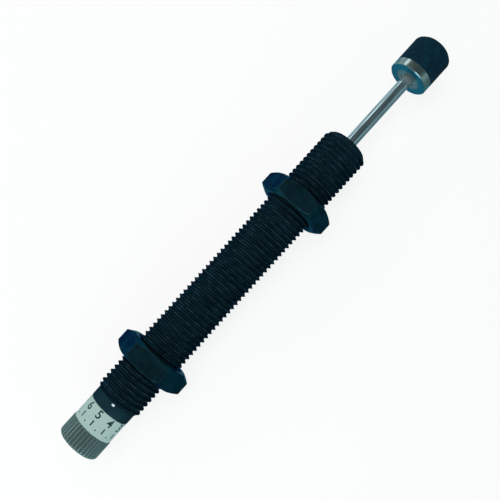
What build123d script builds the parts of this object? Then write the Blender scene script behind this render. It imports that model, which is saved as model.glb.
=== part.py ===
from build123d import *
import os
from math import cos, degrees, radians, sin, sqrt, tan

# Adjustable industrial shock absorber, in millimetres.
# X runs along the axis and points out through the piston rod, Z is up.
# x = 0 is the front face of the threaded body, where the rod comes out.

# Threaded body
thread_d = 14.0
thread_pitch = 1.5
thread_flank_angle = 30.0
thread_length = 93.8
neck_step = 0.95
neck_length = 2.95
body_wall = 1.7
rear_wall = 7.75
chamfer_past_thread = 0.4

# Lock nuts
nut_wall = 2.5
nut_thickness = 6.0
nut_face_inset = 0.6
nut_chamfer_angle = 30.0
nut_bore_chamfer = 0.7
front_nut_setback = 22.0
rear_nut_setback = 13.65

# Front closure: retaining ring, washer, wiper and seal
ring_inset = 0.9
ring_thickness = 0.8
ring_width = 1.0
ring_groove_depth = 0.4
ring_gap_angle = 44.0
ring_lug_d = 2.0
ring_lug_hole_d = 0.8
washer_thickness = 1.0
seal_housing_wall = 1.28
wiper_length = 2.2
wiper_lip_length = 0.8
seal_length = 3.0
seal_lip_depth = 1.1

# Rod bearing and the foam that takes up the rod's volume
bearing_head_wall = 4.3
bearing_nose_wall = 1.45
foam_length = 12.5
collar_length = 1.5
spigot_length = 1.5
o_ring_section = 1.0
o_ring_groove_share = 1.35

# Pressure tube and its metering holes, spread over the piston's stroke
tube_wall = 0.85
tube_floor = 2.5
tube_end_gap = 0.2
orifice_d = 1.0
orifice_count = 5
orifice_first = 4.0
orifice_last = 1.2
orifice_spacing_shrink = 0.82

# Piston rod, piston and return spring
rod_d = 3.5
stroke = 25.0
cap_stand_off = 1.3
piston_length = 6.0
piston_ring_length = 2.2
piston_ring_depth = 0.7
rod_shoulder = 0.5
tail_nut_thickness = 1.6
tail_past_nut = 0.4
seat_thickness = 0.7
spring_gap = 0.3
spring_wire_d = 0.55
spring_turns = 10

# Bumper on the rod's outer end
bumper_d = 12.0
cap_thickness = 2.5
cap_edge = 0.25
cap_recess_d = 4.8
cap_recess_depth = 0.9
rod_in_cap = 2.0
stud_d = 5.0
stud_length = 3.0
stud_head_d = 6.6
stud_head_length = 1.2
pad_length = 9.6
pad_chamfer = 1.2

# Adjuster: stem, metering sleeve, dial and knob
stem_d = 5.0
stem_step = 0.5
stem_flat_depth = 0.4
stem_shoulder = 1.2
flange_thickness = 2.0
boss_length = 1.5
sleeve_wall = 0.55
sleeve_past_slot = 2.5
slot_width = 1.4
slot_angle = 110.0
slot_step_angle = 36.0
stop_pin_d = 1.0
stop_pin_in_wall = 3.0
stop_pin_angle = 180.0
stop_groove_depth = 1.2
fill_hole_d = 0.8
fill_ball_d = 1.3
fill_ball_inset = 0.3
dial_settings = 10
dial_step_angle = 36.0
rest_setting = 5
knob_step = 0.1
band_inset = 0.075
band_wall = 0.655
band_length = 6.4
grip_length = 5.85
knob_edge_radius = 0.9
knob_end_wall = 1.5
flute_count = 36
flute_r = 0.3
set_screw_d = 2.5
set_screw_socket = 1.3
set_screw_socket_depth = 1.2
set_screw_inset = 0.45

# Clearances: radial between round pieces, axial between faces that turn or slide
thread_clearance = 0.03
running_clearance = 0.02
turning_clearance = 0.05
soft_clearance = 0.1
seat_clearance = 0.02
axial_clearance = 0.1

# How far a cutting shape runs past the face that it cuts
cut_past = 1.0

# The metric thread's profile follows from its pitch
thread_depth = 0.6134 * thread_pitch
thread_crest = thread_pitch / 8

# Places along the axis, from the front face of the body inwards
body_chamfer = thread_depth + chamfer_past_thread
thread_end = -thread_length
body_end = thread_end - neck_length
front_nut_x = -front_nut_setback
rear_nut_x = thread_end + rear_nut_setback
bore_floor = body_end + rear_wall
ring_front = -ring_inset
ring_back = ring_front - ring_thickness
washer_back = ring_back - washer_thickness
wiper_back = washer_back - wiper_length
seal_back = wiper_back - seal_length
bearing_head_back = seal_back - bearing_head_wall
foam_back = bearing_head_back - foam_length
collar_back = foam_back - collar_length
spigot_back = collar_back - spigot_length
piston_front = spigot_back - axial_clearance
piston_back = piston_front - piston_length
seat_front = piston_back - seat_clearance
seat_back = seat_front - seat_thickness
tail_nut_back = piston_back - tail_nut_thickness
tail_end = tail_nut_back - tail_past_nut
flange_back = bore_floor + axial_clearance
flange_front = flange_back + flange_thickness
boss_front = flange_front + boss_length
tube_back = boss_front + tube_end_gap
tube_floor_x = tube_back + tube_floor
knob_front = body_end - axial_clearance
grip_front = knob_front - band_length
knob_back = grip_front - grip_length
stem_tail_end = knob_back + knob_end_wall
cap_back = stroke + cap_stand_off
cap_front = cap_back + cap_thickness

# Diameters that follow from a neighbour and a clearance, from the thread inwards
nut_across_flats = thread_d + 2 * nut_wall
neck_d = thread_d - 2 * neck_step
bore_d = thread_d - 2 * body_wall
sleeve_d = bore_d - 2 * turning_clearance
sleeve_bore_d = sleeve_d - 2 * sleeve_wall
tube_d = sleeve_bore_d - 2 * turning_clearance
tube_bore_d = tube_d - 2 * tube_wall
spring_mean_d = tube_bore_d - 2 * spring_gap - spring_wire_d
tail_nut_corner_d = spring_mean_d - spring_wire_d - 2 * soft_clearance
seal_d = bore_d - 2 * running_clearance - 2 * seal_housing_wall
knob_d = neck_d + 2 * knob_step
band_d = neck_d - 2 * band_inset
hub_d = band_d - 2 * band_wall - 2 * seat_clearance
rod_tail_d = rod_d - 2 * rod_shoulder
rod_hole_d = rod_d + 2 * running_clearance
soft_rod_hole_d = rod_d + 2 * turning_clearance
nose_d = rod_hole_d + 2 * bearing_nose_wall
stem_tail_d = stem_d - 2 * stem_step
stem_hole_d = stem_d + 2 * running_clearance
ring_groove_d = bore_d + 2 * ring_groove_depth
stop_circle_r = (stem_d + sleeve_d) / 4
o_ring_groove_width = o_ring_section * o_ring_groove_share


def section(profile):
    """A flat face above the X axis, from its (x, radius) corners."""
    return make_face(Polyline(*[(x, 0, r) for x, r in profile], close=True))


def turned(profile):
    """Revolves a closed outline of (x, radius) points about the X axis."""
    return revolve(section(profile), Axis.X)


def ring(x_from, x_to, inner_d, outer_d):
    """A plain ring round the X axis."""
    corners = [(x_from, inner_d), (x_to, inner_d), (x_to, outer_d), (x_from, outer_d)]
    return turned([(x, d / 2) for x, d in corners])


def rod(x_from, x_to, d):
    """A plain round bar along the X axis."""
    return turned([(x_from, 0), (x_to, 0), (x_to, d / 2), (x_from, d / 2)])


def o_ring(x, outer_d):
    """A round-section ring whose outer edge reaches the given diameter."""
    centre_r = outer_d / 2 - o_ring_section / 2
    section = Plane.XZ * Pos(x, centre_r) * Circle(o_ring_section / 2)
    return revolve(section, Axis.X)


def o_ring_groove(x, outer_d):
    """The cutter for a groove that holds an o_ring, open outwards."""
    bottom_d = outer_d - 2 * o_ring_section - 2 * seat_clearance
    half = o_ring_groove_width / 2
    return ring(x - half, x + half, bottom_d, outer_d + o_ring_section)


def hexagon(x_from, x_to, across_flats):
    """A hexagonal bar along X with one flat facing up."""
    outline = RegularPolygon(across_flats / 2, 6, major_radius=False)
    return Pos(x_from, 0, 0) * extrude(Plane.YZ * outline, x_to - x_from)


def cross_hole(x, angle, d, length):
    """A radial bar from the axis outwards, at an angle from the top."""
    bar = Cylinder(d / 2, length, align=(Align.CENTER, Align.CENTER, Align.MIN))
    return Rot(angle, 0, 0) * Pos(x, 0, 0) * bar


def at_radius(radius, angle):
    """A place off the axis, at an angle from the top."""
    return Rot(angle, 0, 0) * Pos(0, 0, radius)


def wedge(from_angle, to_angle, length):
    """A slice of a wide cylinder round the axis, from x = 0, between two angles from the top."""
    reach = 2 * thread_d
    step = (to_angle - from_angle) / 3
    rim = [radians(from_angle + step * k) for k in range(4)]
    corners = [(0, 0)] + [(-reach * sin(a), reach * cos(a)) for a in rim]
    return extrude(Plane.YZ * make_face(Polyline(*corners, close=True)), length)


def thread_groove(number):
    """Half section of one groove of the thread, counted from the front."""
    middle = -thread_pitch * (number + 0.5)
    slope = tan(radians(thread_flank_angle))
    past_crest = thread_crest / 2
    mouth = (thread_pitch - thread_crest) / 2 + past_crest * slope
    floor = (thread_pitch - thread_crest) / 2 - thread_depth * slope
    mouth_r = thread_d / 2 + past_crest
    floor_r = thread_d / 2 - thread_depth
    return section([
        (middle - mouth, mouth_r),
        (middle - floor, floor_r),
        (middle + floor, floor_r),
        (middle + mouth, mouth_r),
    ])


def body_outside():
    """The body before it is bored; its thread is a row of grooves without a lead."""
    blank = section([
        (body_end, 0),
        (body_end, neck_d / 2),
        (thread_end, neck_d / 2),
        (thread_end + neck_step, thread_d / 2),
        (-body_chamfer, thread_d / 2),
        (0, thread_d / 2 - body_chamfer),
        (0, 0),
    ])
    groove_count = round((thread_length - neck_step) / thread_pitch)
    return revolve(blank - [thread_groove(k) for k in range(groove_count)], Axis.X)


def body_tube():
    """Threaded steel tube with a bored front end and a solid rear wall."""
    bore = rod(bore_floor, cut_past, bore_d)
    ring_groove = ring(ring_back, ring_front + seat_clearance, bore_d / 2, ring_groove_d)
    stem_hole = rod(body_end - cut_past, bore_floor + cut_past, stem_hole_d)
    pin_hole_end = bore_floor - stop_pin_in_wall - seat_clearance
    pin_hole = at_radius(stop_circle_r, stop_pin_angle) * rod(pin_hole_end, bore_floor + cut_past, stop_pin_d)
    fill_hole = at_radius(stop_circle_r, 0) * rod(body_end - cut_past, bore_floor + cut_past, fill_hole_d)
    ball_depth = fill_ball_inset + fill_ball_d
    ball_seat = at_radius(stop_circle_r, 0) * rod(body_end - cut_past, body_end + ball_depth, fill_ball_d)
    return body_outside() - bore - ring_groove - stem_hole - pin_hole - fill_hole - ball_seat


def stop_pin():
    """Pin in the rear wall that runs in the stem's stop groove."""
    tip = flange_back + stop_groove_depth - axial_clearance
    return at_radius(stop_circle_r, stop_pin_angle) * rod(bore_floor - stop_pin_in_wall, tip, stop_pin_d)


def fill_ball():
    """Ball pressed into the oil filling hole."""
    centre_x = body_end + fill_ball_inset + fill_ball_d / 2
    return at_radius(stop_circle_r, 0) * Pos(centre_x, 0, 0) * Sphere(fill_ball_d / 2)


def lock_nut(x_mid):
    """Chamfered hexagon nut on the body's thread."""
    half = nut_thickness / 2
    corner_r = nut_across_flats / sqrt(3)
    face_r = nut_across_flats / 2 - nut_face_inset
    chamfer_depth = (corner_r - face_r) * tan(radians(nut_chamfer_angle))
    bore_r = thread_d / 2 + thread_clearance
    mouth_r = bore_r + nut_bore_chamfer
    blank = turned([
        (-half, mouth_r),
        (-half, face_r),
        (chamfer_depth - half, corner_r),
        (half - chamfer_depth, corner_r),
        (half, face_r),
        (half, mouth_r),
        (half - nut_bore_chamfer, bore_r),
        (nut_bore_chamfer - half, bore_r),
    ])
    return Pos(x_mid, 0, 0) * (hexagon(-half, half, nut_across_flats) & blank)


def retaining_ring():
    """Internal spring ring with a gap and two eyes for the pliers."""
    outer_d = ring_groove_d - 2 * seat_clearance
    inner_d = bore_d - 2 * ring_width
    plain = ring(ring_back, ring_front, inner_d, outer_d)
    gap_half = ring_gap_angle / 2
    gap = Pos(ring_back - cut_past, 0, 0) * wedge(-gap_half, gap_half, ring_thickness + 2 * cut_past)
    whole = plain - gap
    lug_r = bore_d / 2 - ring_lug_d / 2 - seat_clearance
    lug_angle = gap_half + degrees(ring_lug_d / 2 / lug_r)
    for side in (-1, 1):
        place = at_radius(lug_r, side * lug_angle)
        whole += place * rod(ring_back, ring_front, ring_lug_d)
        whole -= place * rod(ring_back - cut_past, ring_front + cut_past, ring_lug_hole_d)
    return whole


def gland_washer():
    """Flat washer that closes the front of the bore."""
    return ring(washer_back, ring_back, rod_d + 2 * soft_clearance, bore_d - 2 * turning_clearance)


def rod_wiper():
    """Wiper ring with a thin lip that leans out along the rod."""
    inner_r = soft_rod_hole_d / 2
    outer_r = seal_d / 2 - seat_clearance
    lip_r = (inner_r + outer_r) / 2
    return turned([
        (wiper_back, inner_r),
        (washer_back, inner_r),
        (washer_back - wiper_lip_length, lip_r),
        (washer_back - wiper_lip_length, outer_r),
        (wiper_back, outer_r),
    ])


def rod_seal():
    """U-shaped pressure seal, open towards the oil."""
    inner_r = soft_rod_hole_d / 2
    outer_r = seal_d / 2 - seat_clearance
    third = (outer_r - inner_r) / 3
    return turned([
        (seal_back, inner_r),
        (wiper_back, inner_r),
        (wiper_back, outer_r),
        (seal_back, outer_r),
        (seal_back, outer_r - third / 2),
        (seal_back + seal_lip_depth, outer_r - third),
        (seal_back + seal_lip_depth, inner_r + third),
        (seal_back, inner_r + third / 2),
    ])


def bearing_o_ring_x():
    """Middle of the groove in the bearing's head."""
    return (seal_back + bearing_head_back) / 2


def rod_bearing():
    """Bronze bearing: head in the bore, thin nose, and a spigot in the tube."""
    head_r = bore_d / 2 - running_clearance
    spigot_r = tube_bore_d / 2 - running_clearance
    body = turned([
        (spigot_back, rod_hole_d / 2),
        (seal_back, rod_hole_d / 2),
        (seal_back, seal_d / 2),
        (washer_back, seal_d / 2),
        (washer_back, head_r),
        (bearing_head_back, head_r),
        (bearing_head_back, nose_d / 2),
        (foam_back, nose_d / 2),
        (foam_back, tube_d / 2),
        (collar_back, tube_d / 2),
        (collar_back, spigot_r),
        (spigot_back, spigot_r),
    ])
    return body - o_ring_groove(bearing_o_ring_x(), bore_d - 2 * running_clearance)


def bearing_o_ring():
    """Seals the bearing's head in the bore."""
    return o_ring(bearing_o_ring_x(), bore_d - 2 * running_clearance)


def accumulator_foam():
    """Closed-cell foam sleeve round the bearing's nose."""
    inner_d = nose_d + 2 * soft_clearance
    outer_d = bore_d - 2 * soft_clearance
    return ring(foam_back + soft_clearance, bearing_head_back - soft_clearance, inner_d, outer_d)


def orifice_places():
    """Where the metering holes lie, closer together towards the end of the stroke."""
    reach = stroke - orifice_first - orifice_last
    whole = 1 - orifice_spacing_shrink ** (orifice_count - 1)
    shares = [(1 - orifice_spacing_shrink ** k) / whole for k in range(orifice_count)]
    return [piston_back - orifice_first - reach * share for share in shares]


def pressure_tube():
    """Inner tube with a closed end and a row of metering holes."""
    tube = turned([
        (tube_back, 0),
        (tube_back, tube_d / 2),
        (collar_back, tube_d / 2),
        (collar_back, tube_bore_d / 2),
        (tube_floor_x, tube_bore_d / 2),
        (tube_floor_x, 0),
    ])
    for x in orifice_places():
        tube -= cross_hole(x, 0, orifice_d, tube_d)
    return tube


def slot_cutter(x, start_angle):
    """Cuts one slot round part of the sleeve."""
    disc = ring(x - slot_width / 2, x + slot_width / 2, tube_bore_d, sleeve_d + 2 * cut_past)
    return disc & (Pos(x - slot_width, 0, 0) * wedge(start_angle, start_angle + slot_angle, 2 * slot_width))


def metering_sleeve():
    """Sleeve whose slots uncover one metering hole after another as it turns."""
    places = orifice_places()
    sleeve = ring(flange_front, places[0] + slot_width / 2 + sleeve_past_slot, sleeve_bore_d, sleeve_d)
    for k, x in enumerate(places):
        sleeve -= slot_cutter(x, -slot_angle / 2 - slot_step_angle * k)
    return sleeve


def stop_groove():
    """Arc groove that lets the stem turn from the first to the last setting."""
    width = stop_pin_d + 2 * axial_clearance
    floor_x = flange_back + stop_groove_depth
    full = ring(flange_back - cut_past, floor_x, 2 * stop_circle_r - width, 2 * stop_circle_r + width)
    first, last = dial_angles()[0], dial_angles()[-1]
    land_middle = stop_pin_angle + 180 - (first + last) / 2
    land_half = (360 - last + first) / 2
    land = wedge(land_middle - land_half, land_middle + land_half, flange_thickness + 4 * cut_past)
    arc = full - Pos(flange_back - 2 * cut_past, 0, 0) * land
    end = rod(flange_back - cut_past, floor_x, width)
    return arc + [at_radius(stop_circle_r, stop_pin_angle - a) * end for a in (first, last)]


def dial_angles():
    """Turn of the knob, in degrees about X, that brings each setting to the index mark."""
    return [dial_step_angle * (k - rest_setting) for k in range(dial_settings)]


def stem_o_ring_x():
    """Middle of the groove in the stem, half way through the rear wall."""
    return (body_end + bore_floor) / 2


def adjuster_stem():
    """Stem through the rear wall, with the flange that carries the sleeve."""
    shoulder_end = body_end + stem_shoulder
    stem = turned([
        (stem_tail_end, 0),
        (stem_tail_end, stem_tail_d / 2),
        (shoulder_end, stem_tail_d / 2),
        (shoulder_end, stem_d / 2),
        (flange_back, stem_d / 2),
        (flange_back, sleeve_d / 2),
        (flange_front, sleeve_d / 2),
        (flange_front, sleeve_bore_d / 2 - running_clearance),
        (boss_front, sleeve_bore_d / 2 - running_clearance),
        (boss_front, 0),
    ])
    flat_z = stem_tail_d / 2 - stem_flat_depth
    length = shoulder_end - stem_tail_end
    flat = Pos(stem_tail_end, 0, -flat_z) * Box(length, stem_tail_d, stem_tail_d,
                                                align=(Align.MIN, Align.CENTER, Align.MAX))
    return stem - flat - stop_groove() - o_ring_groove(stem_o_ring_x(), stem_d)


def stem_o_ring():
    """Seals the stem in the rear wall."""
    return o_ring(stem_o_ring_x(), stem_d)


def set_screw_x():
    """The set screw sits at the middle of the knob's grip."""
    return (grip_front + knob_back) / 2


def adjuster_knob():
    """Fluted knob with a smooth hub that the dial band sits on."""
    blank = turned([
        (knob_back, 0),
        (knob_back, knob_d / 2),
        (grip_front, knob_d / 2),
        (grip_front, hub_d / 2),
        (knob_front, hub_d / 2),
        (knob_front, 0),
    ])
    end_edges = blank.edges().filter_by(GeomType.CIRCLE).group_by(Axis.X)[0]
    knob = fillet(end_edges, knob_edge_radius)
    step = 360 / flute_count
    flute = rod(knob_back - cut_past, grip_front, 2 * flute_r)
    flutes = [at_radius(knob_d / 2, step * k) * flute for k in range(flute_count)]
    knob -= flutes
    knob -= rod(stem_tail_end, knob_front + cut_past, stem_tail_d + 2 * seat_clearance)
    return knob - cross_hole(set_screw_x(), 180, set_screw_d, knob_d)


def dial_band():
    """Ring with the setting scale, on the knob's hub."""
    return ring(grip_front, knob_front, hub_d + 2 * seat_clearance, band_d)


def knob_set_screw():
    """Socket set screw that holds the knob on the stem's flat."""
    flat_z = stem_tail_d / 2 - stem_flat_depth + seat_clearance
    length = knob_d / 2 - set_screw_inset - flat_z
    body = Cylinder(set_screw_d / 2 - seat_clearance, length, align=(Align.CENTER, Align.CENTER, Align.MIN))
    socket = extrude(RegularPolygon(set_screw_socket / 2, 6, major_radius=False), set_screw_socket_depth)
    screw = body - Pos(0, 0, length - set_screw_socket_depth) * socket
    return Rot(180, 0, 0) * Pos(set_screw_x(), 0, flat_z) * screw


def piston_rod():
    """Ground rod with a thin tail that carries the piston."""
    rod_front = cap_back + rod_in_cap
    return turned([
        (tail_end, 0),
        (tail_end, rod_tail_d / 2),
        (piston_front, rod_tail_d / 2),
        (piston_front, rod_d / 2),
        (rod_front, rod_d / 2),
        (rod_front, 0),
    ])


def piston_head():
    """Piston with a groove for its ring."""
    hole_d = rod_tail_d + 2 * seat_clearance
    head = ring(piston_back, piston_front, hole_d, tube_bore_d - 2 * turning_clearance)
    middle = (piston_back + piston_front) / 2
    half = piston_ring_length / 2 + seat_clearance
    groove_d = tube_bore_d - 2 * piston_ring_depth - 4 * seat_clearance
    return head - ring(middle - half, middle + half, groove_d, tube_bore_d + cut_past)


def piston_ring():
    """Plain ring that runs in the pressure tube."""
    middle = (piston_back + piston_front) / 2
    half = piston_ring_length / 2
    inner_d = tube_bore_d - 2 * piston_ring_depth
    return ring(middle - half, middle + half, inner_d, tube_bore_d - 2 * running_clearance)


def piston_nut():
    """Small hexagon nut behind the piston."""
    nut = hexagon(tail_nut_back, piston_back, tail_nut_corner_d * sqrt(3) / 2)
    return nut - rod(tail_nut_back - cut_past, piston_back + cut_past, rod_tail_d + 2 * seat_clearance)


def spring_seat():
    """Washer between the spring and the piston, which lets the rod turn by itself."""
    inner_d = tail_nut_corner_d + 2 * soft_clearance
    return ring(seat_back, seat_front, inner_d, tube_bore_d - 2 * soft_clearance)


def return_spring():
    """Compression spring between the spring seat and the tube's closed end."""
    end_gap = spring_wire_d / 2 + seat_clearance
    start = tube_floor_x + end_gap
    height = seat_back - end_gap - start
    path = Helix(pitch=height / spring_turns, height=height, radius=spring_mean_d / 2)
    wire = sweep(Plane(origin=path @ 0, z_dir=path % 0) * Circle(spring_wire_d / 2), path=path)
    return Pos(start, 0, 0) * Rot(0, 90, 0) * wire


def bumper_cap():
    """Steel cap on the rod, with a headed stud that holds the rubber pad."""
    head_x = cap_front + stud_length - stud_head_length
    cap = turned([
        (cap_back, 0),
        (cap_back, bumper_d / 2 - cap_edge),
        (cap_back + cap_edge, bumper_d / 2),
        (cap_front, bumper_d / 2),
        (cap_front, stud_d / 2),
        (head_x, stud_d / 2),
        (head_x, stud_head_d / 2),
        (cap_front + stud_length, stud_head_d / 2),
        (cap_front + stud_length, 0),
    ])
    recess = rod(cap_back - cut_past, cap_back + cap_recess_depth, cap_recess_d)
    rod_hole = rod(cap_back - cut_past, cap_back + rod_in_cap + seat_clearance, rod_hole_d)
    return cap - recess - rod_hole


def bumper_pad():
    """Rubber pad moulded over the cap's stud."""
    pad_front = cap_front + pad_length
    stud_end = cap_front + stud_length
    neck_r = stud_d / 2 + seat_clearance
    head_r = stud_head_d / 2 + seat_clearance
    head_x = stud_end - stud_head_length - seat_clearance
    return turned([
        (cap_front, neck_r),
        (cap_front, bumper_d / 2),
        (pad_front - pad_chamfer, bumper_d / 2),
        (pad_front, bumper_d / 2 - pad_chamfer),
        (pad_front, 0),
        (stud_end + seat_clearance, 0),
        (stud_end + seat_clearance, head_r),
        (head_x, head_r),
        (head_x, neck_r),
    ])


pieces = {
    "body_tube": body_tube(),
    "front_lock_nut": lock_nut(front_nut_x),
    "rear_lock_nut": lock_nut(rear_nut_x),
    "retaining_ring": retaining_ring(),
    "gland_washer": gland_washer(),
    "rod_wiper": rod_wiper(),
    "rod_seal": rod_seal(),
    "rod_bearing": rod_bearing(),
    "bearing_o_ring": bearing_o_ring(),
    "accumulator_foam": accumulator_foam(),
    "pressure_tube": pressure_tube(),
    "stop_pin": stop_pin(),
    "fill_ball": fill_ball(),
    "metering_sleeve": metering_sleeve(),
    "adjuster_stem": adjuster_stem(),
    "stem_o_ring": stem_o_ring(),
    "adjuster_knob": adjuster_knob(),
    "dial_band": dial_band(),
    "knob_set_screw": knob_set_screw(),
    "spring_seat": spring_seat(),
    "return_spring": return_spring(),
    "piston_rod": piston_rod(),
    "piston_head": piston_head(),
    "piston_ring": piston_ring(),
    "piston_nut": piston_nut(),
    "bumper_cap": bumper_cap(),
    "bumper_pad": bumper_pad(),
}

os.makedirs("parts", exist_ok=True)
for name, piece in pieces.items():
    export_step(piece, f"parts/{name}.step")
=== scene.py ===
import logging
import math
from dataclasses import dataclass, field
from enum import Enum
from typing import Callable, Iterable, Sequence, Union

import bmesh
import bpy
from mathutils import Matrix, Vector


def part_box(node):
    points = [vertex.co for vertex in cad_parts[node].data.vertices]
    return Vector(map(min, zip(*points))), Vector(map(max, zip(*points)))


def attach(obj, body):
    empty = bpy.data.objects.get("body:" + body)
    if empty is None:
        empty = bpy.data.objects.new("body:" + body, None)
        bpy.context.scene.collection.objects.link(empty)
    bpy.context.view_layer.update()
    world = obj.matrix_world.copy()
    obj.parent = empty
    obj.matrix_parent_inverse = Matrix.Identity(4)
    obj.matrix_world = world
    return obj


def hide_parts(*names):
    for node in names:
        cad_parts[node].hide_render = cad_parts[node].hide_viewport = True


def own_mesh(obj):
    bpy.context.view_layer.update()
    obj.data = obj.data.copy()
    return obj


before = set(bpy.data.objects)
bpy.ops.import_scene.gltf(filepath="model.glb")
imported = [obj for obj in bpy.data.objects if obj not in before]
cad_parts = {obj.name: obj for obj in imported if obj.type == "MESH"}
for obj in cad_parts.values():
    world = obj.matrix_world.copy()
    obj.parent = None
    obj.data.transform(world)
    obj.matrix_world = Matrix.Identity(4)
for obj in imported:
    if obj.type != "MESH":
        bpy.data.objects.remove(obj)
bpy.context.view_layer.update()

log = logging.getLogger("shock_absorber")

Colour = tuple[float, float, float]
Place = tuple[float, float, float]
Point = tuple[float, float]
Profile = Sequence[Point]
Stops = tuple[tuple[float, Colour], ...]
Mesh = bmesh.types.BMesh
Vert = bmesh.types.BMVert
Edge = bmesh.types.BMEdge

MM = 0.001
TURN = 2 * math.pi
ORIGIN: Place = (0.0, 0.0, 0.0)
AXIS: Place = (1.0, 0.0, 0.0)
WHITE: Colour = (1.0, 1.0, 1.0)
EDGE = "edge"

# Facets of a whole turn, and the angle in radians from which an edge is sharp
ROUND_STEPS = 144
SHARP = 0.3

# Distances in millimetres: what is joined, what a cut snaps to, what is one place
WELD = 1e-4
SNAP = 1e-5
SAME = 1e-3

# The widest strip of a printed mark, and a shift that keeps its cuts off the mark's corners
STRIP = 0.16
STRIP_SHIFT = 0.63

# The visible thread, in millimetres
CREST_R = 6.93
ROOT_R = 6.22
THREAD_END = -93.8


class Body(Enum):
    """The bodies that the pieces ride on."""

    HOUSING = "housing"
    FRONT_NUT = "front_nut"
    REAR_NUT = "rear_nut"
    ADJUSTER = "adjuster"
    ROD = "rod"


@dataclass(frozen=True)
class Extent:
    """Where a node of the frame lies along the axis and how far it reaches, in millimetres."""

    back: float
    front: float
    radius: float

    @property
    def middle(self) -> float:
        """Half way along it."""
        return (self.back + self.front) / 2


def extent(node: str) -> Extent:
    """The place and reach of a node that stands round the axis."""
    low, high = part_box(node)
    return Extent(round(low.x / MM, 3), round(high.x / MM, 3), round(high.z / MM, 2))


def operator(operation: str, swapped: bool = False) -> Callable[["Value", "Scalar"], "Value"]:
    """The method that adds a Math node for an operator, or for its reflected form."""

    def apply(this: "Value", other: "Scalar") -> "Value":
        """The operation on the two."""
        return this.graph.maths(operation, *((other, this) if swapped else (this, other)))

    return apply


class Value:
    """A node's output that Python's operators can work on."""

    def __init__(self, graph: "Graph", socket: bpy.types.NodeSocket) -> None:
        """Keeps the output and the graph that it belongs to."""
        self.graph = graph
        self.socket = socket

    __add__ = operator("ADD")
    __radd__ = operator("ADD", swapped=True)
    __sub__ = operator("SUBTRACT")
    __rsub__ = operator("SUBTRACT", swapped=True)
    __mul__ = operator("MULTIPLY")
    __rmul__ = operator("MULTIPLY", swapped=True)

    def ramp(self, low: float, high: float) -> "Value":
        """Rises smoothly from 0 at low to 1 at high, or falls where low is the greater."""
        share = (self - low) * (1 / (high - low))
        return self.graph.node("ShaderNodeMapRange", {"interpolation_type": "SMOOTHSTEP"}, {"Value": share})

    def between(self, low: float, high: float) -> "Value":
        """Goes from low to high as this goes from 0 to 1."""
        return self * (high - low) + low


Scalar = Union[Value, float]
Fill = Union[Value, float, Colour]
Key = Union[str, int]


class Graph:
    """The nodes of a material or of the world, written as expressions."""

    def __init__(self, owner: Union[bpy.types.Material, bpy.types.World], output: str) -> None:
        """Empties the owner's nodes and adds an output of that type."""
        owner.use_nodes = True
        self.tree = owner.node_tree
        self.tree.nodes.clear()
        self.output = self.tree.nodes.new(output)

    def feed(self, socket: bpy.types.NodeSocket, fill: Fill) -> None:
        """Sets a socket's own value, or links it."""
        if isinstance(fill, Value):
            self.tree.links.new(fill.socket, socket)
        elif isinstance(fill, tuple) and socket.type == "RGBA":
            socket.default_value = (*fill, 1.0)
        else:
            socket.default_value = fill

    def show(self, shader: Value) -> None:
        """Links a shader to the output."""
        self.feed(self.output.inputs["Surface"], shader)

    def node(
        self, kind: str, settings: dict[str, object], fills: dict[Key, Fill], output: Key = 0
    ) -> Value:
        """Adds one node.

        Args:
            kind: The node's type.
            settings: Its own settings, or a ramp's stops, which are set first.
            fills: The values or links of its sockets.
            output: The output to return.

        Returns:
            That output.
        """
        made = self.tree.nodes.new(kind)
        for key, setting in settings.items():
            if key == "stops":
                set_stops(made.color_ramp, setting)
            else:
                setattr(made, key, setting)
        for key, fill in fills.items():
            self.feed(made.inputs[key], fill)
        return Value(self, made.outputs[output])

    def maths(self, operation: str, *terms: Scalar) -> Value:
        """One Math node on its terms."""
        return self.node("ShaderNodeMath", {"operation": operation}, dict(enumerate(terms)))

    def mix(self, share: Scalar, low: Fill, high: Fill) -> Value:
        """Goes from one colour to another as the share goes from 0 to 1."""
        return self.node("ShaderNodeMix", {"data_type": "RGBA"}, {0: share, 6: low, 7: high}, 2)

    def ray(self, kind: str) -> Value:
        """1 for rays of that kind and 0 for all others."""
        return self.node("ShaderNodeLightPath", {}, {}, f"Is {kind} Ray")

    def place(self) -> Value:
        """The point on the piece, in millimetres."""
        spot = self.node("ShaderNodeTexCoord", {}, {}, "Object")
        return self.node("ShaderNodeVectorMath", {"operation": "SCALE"}, {0: spot, "Scale": 1 / MM})

    def split(self, vector: Value) -> tuple[Value, Value, Value]:
        """The three parts of a vector."""
        node = self.tree.nodes.new("ShaderNodeSeparateXYZ")
        self.feed(node.inputs[0], vector)
        return tuple(Value(self, node.outputs[k]) for k in range(3))

    def round_place(self) -> tuple[Value, Value, Value]:
        """The point as its place along the axis, its radius and its turn in radians."""
        x, y, z = self.split(self.place())
        radius = self.maths("SQRT", y * y + z * z)
        return x, radius, self.maths("ARCTAN2", y, z)

    def noise(self, vector: Value, scale: float, detail: float = 3.0) -> Value:
        """Smooth noise about 0.5."""
        return self.node("ShaderNodeTexNoise", {}, {"Vector": vector, "Scale": scale, "Detail": detail})

    def flat_noise(self, first: Scalar, second: Scalar, scale: float, detail: float = 3.0) -> Value:
        """Noise over two measures of the surface, such as its place along the axis and its turn."""
        both = self.node("ShaderNodeCombineXYZ", {}, {0: first, 1: second, 2: 0.0})
        return self.noise(both, scale, detail)


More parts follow.
